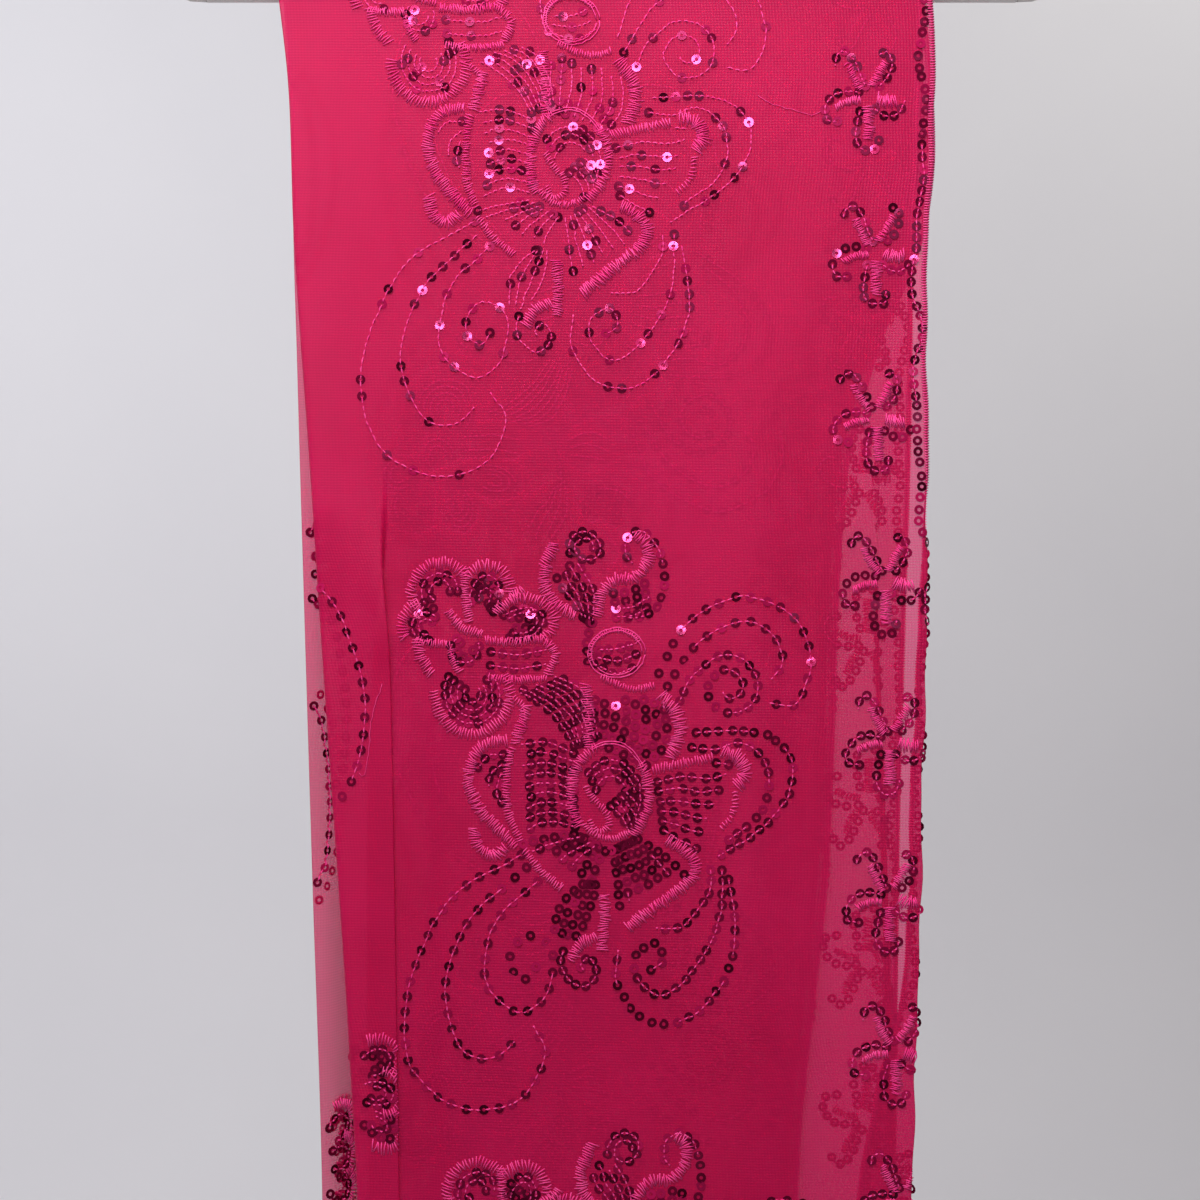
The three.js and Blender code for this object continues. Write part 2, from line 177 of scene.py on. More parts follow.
def frontSection(depth):  # points (x, out) of both plies, and the number of the point in the fold
    line = {**linesAt(frontLines, depth), **linesAt(pleatLines, depth)}
    radius = bends["pleatRadius"]
    turned = max(np.pi * smooth(*bends["pleat"], depth), 1e-3)
    middle = line["crease"] - line["lap"] / 2 - radius
    pleatX = middle + bendRun(radius, turned) + line["lap"] / 2 * np.cos(turned)

    # the selvedge, folded under where the cloth is creased, and rippled by its overlocking
    line["outerEdge"] += rippleAt(depth)
    edgeRadius = bends["selvedgeRadius"]
    edgeTurned = max(np.pi * smooth(*bends["selvedge"], depth), 1e-3)
    reach = bendRun(edgeRadius, edgeTurned) + line["turnedIn"] * max(np.cos(edgeTurned), 0)
    edgeX = line["outerEdge"] - max(reach, edgeRadius * smooth(0.2, np.pi, edgeTurned))
    edgeStart = np.array([edgeX, outerPly + relief(edgeX, depth)])
    edge = walkBend(edgeStart, 1, -1, edgeTurned, line["turnedIn"], edgeRadius, 5, 3, goesOn=False)[::-1]

    x = np.linspace(edgeX, pleatX, frontStops["main"])
    main = np.column_stack([x, outerPly + relief(x, depth)])
    pleat = walkBend(main[-1], -1, 1, turned, line["lap"], radius, 5, 3)

    foldX = line["leftFold"] + line["roll"]
    share = np.linspace(0, 1, frontStops["strip"])[1:-1]
    rollTop = innerPly + 2 * line["roll"]
    strip = np.column_stack([
        pleat[-1, 0] + (foldX - pleat[-1, 0]) * share,
        pleat[-1, 1] + (rollTop - pleat[-1, 1]) * smooth(0, 1, share),
    ])
    outer = np.vstack([edge, main, pleat, strip, roll(line["leftFold"], line["roll"], 0, 0.5, 5)])

    tuckTurned = max(np.pi * smooth(*bends["tuck"], depth), 1e-3)
    tuckX = line["tuckCrease"] - bendRun(radius, tuckTurned) - line["tuckLap"] / 2 * np.cos(tuckTurned)
    x = np.linspace(foldX, tuckX, frontStops["flat"])[1:]
    flat = np.column_stack([x, np.full(len(x), innerPly)])
    tuck = walkBend(flat[-1], 1, -1, tuckTurned, line["tuckLap"], radius, 5, 2)
    x = np.linspace(tuck[-1, 0], line["innerEdge"], frontStops["tail"])[1:]
    tail = np.column_stack([x, np.full(len(x), tuck[-1, 1])])
    inner = np.vstack([roll(line["leftFold"], line["roll"], 0.5, 1, 5)[1:], flat, tuck, tail])
    return np.vstack([outer, inner]), len(outer) - 1


def backWave(share, height):
    phase = 2 * np.pi * bends["waveCount"] * (share + bends["waveWarp"] * np.sin(2 * np.pi * share))
    swing = 1 + bends["waveSwing"] * np.sin(2 * np.pi * share + 0.8)
    return middlePly + height * swing * (1 - np.cos(phase))


def backSection(depth):
    line = linesAt(backLines, depth)
    half = (outerPly - innerPly) / 2
    foldX = line["leftFold"] + half
    span = line["outerEdge"] - foldX

    def onPly(share, side):
        step = 1e-3
        rise = backWave(share + step, line["wave"]) - backWave(share - step, line["wave"])
        slope = rise / (2 * step * span)
        length = np.hypot(slope, 1)
        return np.column_stack([
            foldX + span * share - side * half * slope / length,
            backWave(share, line["wave"]) + side * half / length,
        ])

    stops = cloth["backStops"]
    outer = np.vstack([onPly(np.linspace(1, 0, stops)[:-1], 1), roll(line["leftFold"], half, 0, 0.5, 4)])
    innerShare = np.linspace(0, (line["innerEdge"] - foldX) / span, stops)[1:]
    inner = np.vstack([roll(line["leftFold"], half, 0.5, 1, 4)[1:], onPly(innerShare, -1)])
    return np.vstack([outer, inner]), len(outer) - 1


def hangDown(section, depth, side):
    fall = "front" if side < 0 else "back"
    drop, slant = cloth[fall + "Drop"], cloth[fall + "Slant"]
    x, out = section.T
    return np.column_stack([x, side * out, barZ - depth - slant * x * depth / (cloth["slantRun"] * drop)])


def turnOver(section, turn):
    x, out = section.T
    return np.column_stack([x, out * math.cos(turn), barZ + out * math.sin(turn)])


def lengthAlong(points):
    return np.concatenate([[0], np.cumsum(np.linalg.norm(np.diff(points, axis=0), axis=1))])


def atLengths(points, lengths, wanted):
    return np.column_stack([np.interp(wanted, lengths, points[:, k]) for k in range(points.shape[1])])


# Rows of the cloth from the back hem, over the bar, to the front hem. Each has its place along the cloth,
# measured from the top of the bar, its points and the number of the point in the left fold.
def clothRows():
    topSection, topFold = frontSection(0)
    topLengths = lengthAlong(topSection)
    outerShares = topLengths[: topFold + 1] / topLengths[topFold]
    innerShares = (topLengths[topFold:] - topLengths[topFold]) / (topLengths[-1] - topLengths[topFold])
    rows = []
    backSteps = round(cloth["backDrop"] / cloth["backRowStep"])
    for depth in np.linspace(cloth["backDrop"], 0, backSteps + 1):
        section, fold = backSection(depth)
        lengths = lengthAlong(section)
        wanted = np.concatenate([
            outerShares * lengths[fold],
            lengths[fold] + innerShares[1:] * (lengths[-1] - lengths[fold]),
        ])
        rows.append((-overBar - depth, hangDown(atLengths(section, lengths, wanted), depth, 1)))
    for i in range(1, cloth["barRows"]):
        share = i / cloth["barRows"]
        rows.append((overBar * (2 * share - 1), turnOver(topSection, math.pi * share)))
    frontSteps = round(cloth["frontDrop"] / cloth["rowStep"])
    for depth in np.linspace(0, cloth["frontDrop"], frontSteps + 1):
        rows.append((overBar + depth, hangDown(frontSection(depth)[0], depth, -1)))
    return np.array([along for along, _ in rows]), np.array([points for _, points in rows]), topFold


rowAlong, rowPoints, foldColumn = clothRows()
rowLengths = np.array([lengthAlong(points) for points in rowPoints])
foldLengths = rowLengths[:, foldColumn]
fullLengths = rowLengths[:, -1]
# how much more of the outer selvedge is turned under at each row than at the bar
turnedLengths = np.array([lineAt(frontLines, "turnedIn", max(along - overBar, 0)) for along in rowAlong])
turnedLengths -= frontLines["turnedIn"][0]
print("cloth laid out:", rowPoints.shape)

# The same rows with evenly spaced points on each ply, to find any place on the cloth fast.
fineCount = 500
finePoints = np.array([
    atLengths(points, lengths, np.concatenate([
        np.linspace(0, fold, fineCount + 1),
        np.linspace(fold, lengths[-1], fineCount + 1)[1:],
    ]))
    for points, lengths, fold in zip(rowPoints, rowLengths, foldLengths)
])


# Places on the cloth are given from an edge: the outer ply's selvedge, the left fold (inner ply positive),
# the inner ply's selvedge, or the line along which the outer ply's selvedge turns under.
fromOuter, fromFold, fromInner, fromTurn = range(4)
probe = {"across": 0.6, "along": 1.5}  # how far round a place its directions are measured


def clothPoint(edge, away, along):
    row = np.clip(np.searchsorted(rowAlong, along) - 1, 0, len(rowAlong) - 2)
    share = np.clip((along - rowAlong[row]) / (rowAlong[row + 1] - rowAlong[row]), 0, 1)

    def onRow(index):
        fold, full = foldLengths[index], fullLengths[index]
        across = np.choose(edge.astype(int), [away, fold + away, full - away, away + turnedLengths[index]])
        column = np.where(across > fold, fineCount * (1 + (across - fold) / (full - fold)),
                          fineCount * across / fold)
        column = np.clip(column, 0, 2 * fineCount - 1e-6)
        left = column.astype(int)
        part = (column - left)[:, None]
        return finePoints[index, left] * (1 - part) + finePoints[index, left + 1] * part

    return onRow(row) * (1 - share)[:, None] + onRow(row + 1) * share[:, None]


def unit(vectors):
    return vectors / np.maximum(np.linalg.norm(vectors, axis=1, keepdims=True), 1e-9)


def clothFrame(edge, away, along):  # a point, the way across, the way along and the embroidered side's normal
    side = np.where(edge == fromInner, -1, 1)
    step = side * probe["across"]
    across = clothPoint(edge, away + step, along) - clothPoint(edge, away - step, along)
    down = clothPoint(edge, away, along + probe["along"]) - clothPoint(edge, away, along - probe["along"])
    return clothPoint(edge, away, along), unit(across), unit(down), unit(np.cross(across, down))


def linear(hexColour):
    def channel(value):
        value /= 255
        return value / 12.92 if value <= 0.04045 else ((value + 0.055) / 1.055) ** 2.4
    return tuple(channel(int(hexColour[i:i + 2], 16)) for i in (1, 3, 5)) + (1,)


# An input is a number, a hex colour, a socket or a node, whose first output in use is linked.
def addNode(tree, kind, inputs=None, **settings):
    node = tree.nodes.new("ShaderNode" + kind)
    for name, value in settings.items():
        setattr(node, name, value)
    for socket, value in (inputs or {}).items():
        if isinstance(value, str):
            value = linear(value)
        if isinstance(value, bpy.types.Node):
            value = next(output for output in value.outputs if output.enabled)
        if isinstance(value, bpy.types.NodeSocket):
            tree.links.new(value, node.inputs[socket])
        else:
            node.inputs[socket].default_value = value
    return node


def newMaterial(name):
    material = bpy.data.materials.new(name)
    material.use_nodes = True
    material.node_tree.nodes.clear()
    return material, material.node_tree


def surfaceOf(tree, shader):
    addNode(tree, "OutputMaterial", {"Surface": shader})


def addObject(name, data):
    made = bpy.data.objects.new(name, data)
    bpy.context.collection.objects.link(made)
    return made


def takeMesh(name, shape):
    mesh = bpy.data.meshes.new(name)
    shape.to_mesh(mesh)
    shape.free()
    return mesh


def finishPiece(mesh, material):
    piece = addObject(mesh.name, mesh)
    mesh.materials.append(material)
    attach(piece, "root")
    return piece


# Polyester net: hot pink and see-through, with fine ribs that shimmer where two plies lie over each other.
def netMaterial():
    look = {
        "rib": 1.15,  # mm; the real ribs are 0.65 mm apart, drawn wider so that they show
        "wale": 1.3,
        "cover": 0.77,  # how much of the view the yarns fill
        "sheerCover": 0.17,  # less of it where the cloth is sheerest
        "ribCover": 0.05, "waleCover": 0.015, "cloudCover": 0.1, "cloudScale": 14,
        "ribHeight": 0.0002,  # of the bump, in metres
    }
    material, tree = newMaterial("polyester_net")
    uv = addNode(tree, "UVMap", uv_map="cut")
    parts = addNode(tree, "SeparateXYZ", {0: uv})

    def ribs(socket, pitch):
        scaled = addNode(tree, "Math", {0: socket, 1: 2 * math.pi / (pitch * mm)}, operation="MULTIPLY")
        return addNode(tree, "Math", {0: scaled}, operation="SINE")

    across = ribs(parts.outputs["Y"], look["rib"])
    upright = ribs(parts.outputs["X"], look["wale"])
    cloudy = addNode(tree, "TexNoise", {"Vector": uv, "Scale": look["cloudScale"], "Detail": 4})
    cover = look["cover"]
    for pattern, share in ((across, "ribCover"), (upright, "waleCover"), (cloudy, "cloudCover")):
        cover = addNode(tree, "Math", {0: pattern, 1: look[share], 2: cover}, operation="MULTIPLY_ADD")
    cover = addNode(tree, "Math", {0: cover, 1: look["cloudCover"] / 2}, operation="SUBTRACT")
    # painted light and shade: the net is thinned to look lighter over the pale backdrop and thickened to look
    # darker
    sheer = addNode(tree, "Attribute", attribute_name="sheer")
    cover = addNode(tree, "Math", {0: sheer.outputs["Fac"], 1: -look["sheerCover"], 2: cover},
                    operation="MULTIPLY_ADD")
    colour = addNode(tree, "Mix", {"Factor": cloudy, "A": "#cb0850", "B": "#e51668"}, data_type="RGBA")
    height = addNode(tree, "Math", {0: across, 1: upright}, operation="ADD")
    bump = addNode(tree, "Bump", {"Strength": 0.25, "Distance": look["ribHeight"], "Height": height})
    surfaceOf(tree, addNode(tree, "BsdfPrincipled", {
        "Base Color": colour, "Roughness": 0.52, "Specular IOR Level": 0.16,
        "Transmission Weight": 0.45,  # light comes through the yarns as well as between them
        "IOR": 1.3,
        "Sheen Weight": 0.08, "Sheen Roughness": 0.4, "Sheen Tint": "#ff5f9f",
        "Alpha": cover, "Normal": bump,
    }))
    return material


# where the net is more or less dense than elsewhere: painted light and painted shade, besides the selvedges'
# own denser weave
density = {
    "stretch": 40,  # mm behind the bar over which the painted light at the back half's left fold comes in
    "foldReach": 24, "selvedge": 0.3, "selvedgeReach": 20, "paintedLowShade": 0.45,
    "paintedShadeSpan": (300, 500),  # mm in front of the bar over which the front half grows denser, painted shade that darkens it further down
}


def sheerAndPaintedLight(row, column):  # 1 at the back half's left fold, painted light; below 0 at the selvedges and low in front, painted shade
    length, along = rowLengths[row, column], rowAlong[row]

    def near(place, reach):
        return math.exp(-(((length - place) / reach) ** 2))

    # painted light: the back half's left fold is thinned, so more of the pale backdrop shows through it
    paintedFoldLight = smooth(0, -density["stretch"], along) * near(foldLengths[row], density["foldReach"])
    # the selvedges are woven denser, and are made denser still as painted shade
    denseAndShaded = near(0, density["selvedgeReach"]) + near(fullLengths[row], density["selvedgeReach"])
    # painted shade: the front fall grows denser further down, so it looks darker there
    paintedLowShade = smooth(*density["paintedShadeSpan"], along)
    return paintedFoldLight - density["selvedge"] * denseAndShaded - density["paintedLowShade"] * paintedLowShade


def buildNet():
    rows, columns = rowPoints.shape[:2]
    sheet = bmesh.new()
    bmesh.ops.create_grid(sheet, x_segments=columns - 1, y_segments=rows - 1, size=1)
    uvLayer = sheet.loops.layers.uv.new("cut")
    sheerLayer = sheet.verts.layers.float.new("sheer")
    places = {}
    for vert in sheet.verts:
        column = round((vert.co.x + 1) / 2 * (columns - 1))
        row = round((vert.co.y + 1) / 2 * (rows - 1))
        places[vert] = (rowLengths[row, column] * mm, rowAlong[row] * mm)
        vert[sheerLayer] = sheerAndPaintedLight(row, column)
        vert.co = Vector(rowPoints[row, column] * mm)
    for face in sheet.faces:
        face.smooth = True
        for loop in face.loops:
            loop[uvLayer].uv = places[loop.vert]
    net = finishPiece(takeMesh("shawl_net", sheet), netMaterial())
    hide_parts("front_fall", "bar_turn", "back_fall")
    return net


net = buildNet()
print("net made:", len(net.data.polygons), "faces")


# The embroidery is drawn flat, in millimetres with x to the right and y up, and then laid on the cloth.
def through(points, steps=10):  # a smooth curve through a few points
    points = np.array(points, float)
    padded = np.vstack([2 * points[0] - points[1], points, 2 * points[-1] - points[-2]])
    curve = []
    for a, b, c, d in zip(padded, padded[1:], padded[2:], padded[3:]):
        for t in np.arange(steps) / steps:
            curve.append(b + 0.5 * t * (c - a + t * (2 * a - 5 * b + 4 * c - d + t * (3 * (b - c) + d - a))))
    return np.vstack([curve, points[-1]])


def ring(centre, across, up, start=0, end=360, lean=0):  # part of an oval, angles in degrees
    turn = np.radians(np.linspace(start, end, max(12, int(abs(end - start) / 6))))
    x, y = across * np.cos(turn), up * np.sin(turn)
    lean = math.radians(lean)
    return np.column_stack([centre[0] + x * math.cos(lean) - y * math.sin(lean),
                            centre[1] + x * math.sin(lean) + y * math.cos(lean)])


def spiral(centre, fromRadius, toRadius, start, turns):
    share = np.linspace(0, 1, int(abs(turns) * 40) + 2)
    turn = np.radians(start) + 2 * np.pi * turns * share
    radius = fromRadius + (toRadius - fromRadius) * share
    return np.column_stack([centre[0] + radius * np.cos(turn), centre[1] + radius * np.sin(turn)])


def curved(curve):  # a list of a few points is made a smooth curve
    return through(curve) if isinstance(curve, list) else curve


# the share given after the pitch is of the row's sequins that get the lighter rose tone, painted light
def sequins(plan, curve, pitch=4.9, paintedLightShare=0.3, shown=0.8):  # shown: how much of the thread lies on top
    plan["sequins"].append((curved(curve), pitch, paintedLightShare, shown))


def satin(plan, curve, length=4.6, gap=1.15, lean=0.2):  # lean: how far the strokes slant, in waves
    plan["satin"].append((curved(curve), length, gap, lean))


def outline(plan, curve, radius=0.4):
    plan["outline"].append((curved(curve), radius))


# rows of sequins spread between two curves
def fan(plan, first, last, rows, pitch=4.9, paintedLightShare=0.3, shown=0.9):
    first, last = through(first), through(last)
    share = np.linspace(0, 1, 24)
    ends = [atLengths(curve, lengthAlong(curve), share * lengthAlong(curve)[-1]) for curve in (first, last)]
    for part in np.linspace(0, 1, rows):
        row = ends[0] * (1 - part) + ends[1] * part
        shorten = draw.uniform(0.82, 1)
        lengths = lengthAlong(row)
        sequins(plan, atLengths(row, lengths, share * lengths[-1] * shorten), pitch, paintedLightShare, shown)


def lobe(plan, centre, across, up, lean, rows, fringe):  # a petal of nested arcs with a satin fringe outside
    opening, fringeGap = 130, 4.5
    for i in range(rows):
        size = 1 - i / (rows + 0.3)
        sequins(plan, ring(centre, across * size, up * size, -opening, opening, lean), 4.2, 0.35)
    if fringe:
        satin(plan, ring(centre, across + fringeGap, up + fringeGap, *fringe, lean), 5, 1.3)


# A motif is a list of steps, each a function and its settings. It is drawn anew for each place.
def planOf(motif):
    plan = {"sequins": [], "satin": [], "outline": []}
    for addTo, *settings in motif:
        addTo(plan, *settings)
    return plan


smallFlower = [
    (lobe, (-73, 86), 7.5, 8, 130, 2, (-95, 100)),
    (lobe, (-54, 84), 9, 6, 80, 3, (-75, 60)),
    (lobe, (-39, 73), 10, 6, 15, 3, (-60, 95)),
    (lobe, (-79, 71), 6, 6, 175, 2, (-70, 40)),
    (lobe, (-62, 62), 6, 6, 260, 2, None),
    (sequins, [(-51, 61), (-39, 60), (-27, 62)], 4.9, 0.3, 1),
    (sequins, [(-51, 55), (-39, 54), (-27, 56)], 4.9, 0.3, 1),
    # satin ropes between the petals
    (satin, [(-63, 96), (-62, 84), (-61, 73)], 4, 1),
    (satin, [(-50, 77), (-44, 82), (-38, 87)], 4.4, 1),
    (satin, [(-84, 65), (-76, 64), (-68, 64)], 3.6, 1),
    (satin, [(-70, 78), (-64, 71), (-55, 68)], 4, 1),
    (satin, [(-68, 62), (-67, 57), (-64, 52)], 3.6, 1),
    (satin, [(-54, 65.5), (-40, 65), (-30, 66), (-24, 60), (-27, 52)], 4, 1),
    (satin, [(-52, 50), (-40, 49), (-27, 50)], 3.4, 1),
    (lobe, (-59, 43), 12.5, 11.5, 275, 4, (-100, 115)),
    (satin, [(-83, 66), (-81, 58), (-76, 51)], 5),
    (satin, [(-42, 42), (-38, 38), (-37, 32)], 3),
]

sprout = [
    (satin, [(-25, 107), (-29, 97), (-29, 88), (-24, 81), (-16, 76)], 5.2, 1),
    (sequins, spiral((-11.5, 105), 7.5, 3, 200, -1.6), 4.3, 0.2),
    (fan, [(-9, 73), (-8, 84), (-11, 92), (-16, 99)], [(-13, 76), (-17, 83), (-23, 90), (-25, 98)],
     4, 5, 0.2),
    (sequins, [(-10, 74), (-11, 67), (-11, 60), (-9, 54)], 4.3, 0.1),
    (sequins, [(6, 76), (14, 77), (20, 84), (21, 95), (18, 106), (12, 112), (6, 109), (5, 102), (8, 98)],
     4.6, 0.5),
    (satin, [(-7, 76), (-5, 86), (1, 92), (8, 92), (14, 99), (14, 107), (9, 111)], 5, 1),
    (fan, [(0, 86), (8, 87), (14, 91)], [(1, 76), (9, 77), (16, 82)], 4, 4.6, 0.55, 0.3),
    (outline, ring((1.5, 61), 12, 10.5)),
    (outline, ring((1.5, 61), 10.56, 9.24)),
    (satin, ring((1.5, 61), 11, 9.5, 30, 200), 2.4, 1),
    (fan, [(-8, 56), (2, 52.5), (12, 57)], [(-6, 62), (3, 63), (11, 66)], 3, 4.4, 0.7),
]

mainFlower = [
    # the middle: satin at both sides, chain stitch above, fuzz below
    (satin, ring((0.5, 2), 16.5, 21, 112, 222), 4.6, 1),
    (satin, ring((0.5, 2), 16.5, 21, -55, 38), 4.6, 1),
    (satin, ring((0.5, 2), 15, 19, 222, 305), 3, 1.1),
    (outline, ring((0.5, 2), 16.5, 22, 30, 122)),
    (outline, ring((0.5, 2), 15.675, 20.9, 30, 122)),
    (sequins, ring((1, 1), 12.5, 15, -35, 150), 4.2, 0.25, 1),
    (sequins, ring((1, 1), 9.75, 11.7, 10, 150), 4.2, 0.25, 1),
    (sequins, ring((1, 1), 6.875, 8.25, 30, 170), 4.2, 0.25, 1),
    (fan, [(1, -3), (6, -8), (9, -15)], [(7, 3), (12, -3), (14, -9)], 4, 4.3, 0.1, 0.6),
    (satin, [(-10, 5), (-6, -1), (-1, -6), (0, -12), (-5, -14), (-8, -9)], 3, 1.2),
    # the petals, from the upper left round to the right
    (fan, [(-6, 26), (-9, 38), (-15, 47), (-26, 51)], [(-15, 22), (-23, 33), (-33, 41), (-43, 45)],
     7, 4.9, 0.15, 1),
    (satin, [(-9, 21), (-10, 34), (-11, 48)], 4.6, 1, 0),
    (satin, [(-36, 39), (-38, 31), (-40, 22)], 5, 1),
    (fan, [(-7, 24), (-8, 34), (-7, 47)], [(16, 14), (23, 24), (21, 42)], 8, 4.4, 0.6, 0.12),
    (satin, [(20, 44), (27, 35), (28, 26), (25, 17)], 6, 1),
    (satin, [(-5, 51), (4, 47), (12, 46), (18, 48)], 3, 1.1),
    (fan, [(20, 7), (30, 9.5), (43, 9), (53, 12)], [(23, -13), (30, -17), (38, -21)], 6, 5.2, 0.12, 0.85),
    (sequins, [(45, 15.5), (51, 15)], 5, 0),
    (satin, [(18, 12), (31, 15), (44, 18)], 4, 1.2),
    (satin, [(47, 20), (54, 18), (57, 11), (53, 6)], 6, 0.9),
    (satin, [(53, 4), (52, -6), (47, -12)], 3, 1.5),
    (fan, [(1, -22), (3, -34), (6, -49)], [(12, -17), (22, -23), (32, -32)], 7, 4.7, 0.1, 0.15),
    (satin, [(24, -17), (31, -21), (35.5, -27), (34, -33), (29, -38), (19, -46), (9, -54)], 5.4, 0.95),
    # the tail leaf
    (fan, [(-11, -36), (-16, -40), (-21, -49), (-22, -62)], [(-6, -36), (-6, -42), (-9, -52), (-16, -62)],
     4, 4.6, 0.25, 0.2),
    (satin, [(-2, -40), (-1, -50), (-2, -64)], 4.8, 1),
    (satin, [(-4, -58), (-11, -61), (-15, -68)], 5, 1),
    (sequins, [(-18, -64), (-19, -69), (-16, -75), (-10, -79), (-5, -76), (-4, -71), (-8, -67), (-11, -70),
     (-9, -73)], 4.2, 0.15),
    # the left side
    (fan, [(-14, -15), (-26, -17), (-38, -20)], [(-2, -22), (-6, -29), (-8, -36)], 7, 4.5, 0.55, 0.35),
    (satin, [(-36, -22), (-29, -31), (-20, -38)], 3.4, 1.1),
    (fan, [(-15, 19), (-26, 23), (-38, 22)], [(-14, -12), (-25, -10), (-37, -15)], 9, 4.8, 0.2, 0.95),
    (satin, [(-41, 21), (-43, 8), (-42, -6), (-37, -19)], 3.6, 1.1),
    (fan, [(-44, 18), (-51, 17), (-56, 10)], [(-45, 10), (-47, 2), (-44, -4)], 3, 4.4, 0.2),
    (satin, [(-43, 24), (-54, 21), (-59, 8), (-55, -4), (-48, -12), (-39, -21)], 5, 1),
    (satin, [(-57, -13), (-55, -21), (-49, -25), (-43, -21)], 5, 1),
]

wide = 6.7  # between the sequins of the large scrolls
scrolls = [
    (sequins, [(20, 53), (30, 73), (54, 85), (75, 77), (83, 58), (77, 41), (65, 41)], wide),
    (sequins, [(23, 47), (36, 66), (54, 75), (67, 69), (71, 58), (66, 50)], wide),
    (sequins, np.vstack([through([(28, 41), (33, 51), (43, 60)]), spiral((49, 47), 14, 3, 112, -1.75)]),
     5),
    (sequins, [(35, 28), (52, 29), (66, 27), (76, 18), (76, 5), (66, -10), (45, -24)], 5),
    (sequins, [(34, 22), (44, 21), (55, 24), (65, 17), (67, 6), (63, -6), (50, -17)], 5),
    # lower left
    (sequins, [(-37, -24), (-66, -43), (-83, -82), (-80, -115), (-59, -131), (-35, -127),
     (-24, -109), (-30, -95)], wide),
    (sequins, [(-35, -29), (-59, -54), (-67, -82), (-60, -105), (-47, -110), (-36, -102)], wide),
    (sequins, [(-30, -35), (-45, -50), (-51, -67), (-49, -80), (-36, -90), (-25, -83), (-22, -69),
     (-25, -61), (-34, -58), (-40, -65), (-39, -73), (-33, -76), (-29, -70)], wide),
    # lower right
    (sequins, [(42, -29), (42, -39), (32, -53), (20, -54)], 5),
    (sequins, [(47, -29), (47, -51), (36, -72), (24, -82), (14, -76), (12, -66), (20, -60), (24, -67),
     (18, -72)], 5),
    (sequins, [(50, -33), (54, -54), (49, -76), (34, -92), (16, -92), (5, -77), (5, -63)], 5.4),
]

flowerSpray = mainFlower + smallFlower + sprout + scrolls

close = 4.5  # between the sequins of a star
starSprig = [
    (satin, [(-3, 2.5), (-6.5, 8), (-9, 13.5)], 3.4, 0.8),
    (sequins, [(-1.5, 4), (-4, 9), (-6, 14), (-9.5, 18.5), (-13.5, 17), (-14.5, 12.5)], close),
    (satin, [(1, 4), (4, 9), (7, 14.5)], 3.8, 0.8),
    (sequins, [(4.5, 4), (8, 8.5), (9.5, 13.5), (8, 18.5), (4, 17)], close),
    (satin, [(-3, -1.5), (-8, -2), (-13.5, -4.5)], 3.4, 0.8),
    (sequins, [(-4, 1.5), (-9.5, 2), (-15, 0), (-18, -5), (-16.5, -10), (-12, -10.5)], close),
    (satin, [(3.5, -1), (8, -2.5), (12, -2)], 5.6, 0.8),
    (sequins, [(3, -5.5), (8, -8.5), (13, -7), (15.5, -2)], close),
    (satin, [(0, -4), (0.6, -10), (0.6, -18)], 4.8, 0.8),
    (sequins, [(-3.2, -6), (-4.4, -12), (-4.8, -18), (-1.5, -22.5), (3.5, -21.5), (5, -16)], close),
]

# it wraps the left fold, with no sequin on the fold itself
ovalRing = [
    (sequins, [(3, 46), (10, 36), (16, 18), (18.5, 0), (16.5, -18), (11, -34), (3, -46)], 7.2, 0.3),
    (sequins, [(-3, 38), (-7, 28), (-9.5, 10), (-9.5, -10), (-7, -28), (-3, -38)], 7, 0.3),
]

smallPetals = []
for rise, slant in ((13, 35), (0, 0), (-13, -35)):
    smallPetals += [(lobe, (10.5, rise), 7, 5, slant, 2, (-80, 80)),
                    (lobe, (-9.5, rise), 6, 5, 180 - slant, 1, (-70, 70))]

strayThread = [(outline, [(-14, 4), (-7.6, 0.6), (2, -2), (9.2, -4), (13, -2.3)], 0.2)]
foldThread = [(outline, [(26, 6), (21, -8), (19, -20), (16, -33), (13, -30)], 0.2)]


def edgeVine(length):  # the line of sequins that wanders beside a selvedge
    y = np.arange(0, length, 2.0)
    x = 1.9 * np.sin(y / 9.3) * np.sin(y / 41 + 1) + 0.9 * np.sin(y / 5.1 + 2) + 2 * smooth(235, 270, y)
    return [(sequins, np.column_stack([x, -y]), 4.8, 0.2, 0.3)]


sewing = {
    "sequinRadius": 2.1, "holeRadius": 0.8, "crown": 0.012, "sides": 10, "lift": 0.3,
    "tilt": 4.5,  # degrees, one spread of the sequins' lean
    "threadRadius": 0.45, "satinRadius": 0.38,
    "hemGap": 5,  # bare cloth at each hem
    "rowScatter": 0.22,  # of the sequins along their row
    "spotScatter": 0.18,  # and to any side
    "turns": (0, 0.25, 0.5, 0.75),  # of the running thread, in shares of the step between sequins
    "turnHeights": (-0.75, 0.75, -0.7, 0.5), "strokeLean": 0.1, "strokeBow": 0.22,
    "strokeHeights": (0.1, 0.5, 0.1),
    "outlineHeights": (0.2, 0.45), "outlineStep": 1.9, "outlineScatter": 0.14,
}
alongEnds = (rowAlong[0] + sewing["hemGap"], rowAlong[-1] - sewing["hemGap"])


# What has been sewn, by part of the cloth: sequins as rows of (edge, away, along, direction across, direction
# along, tone), threads as lists of strands, each an array of (edge, away, along, height).
sewn = {}


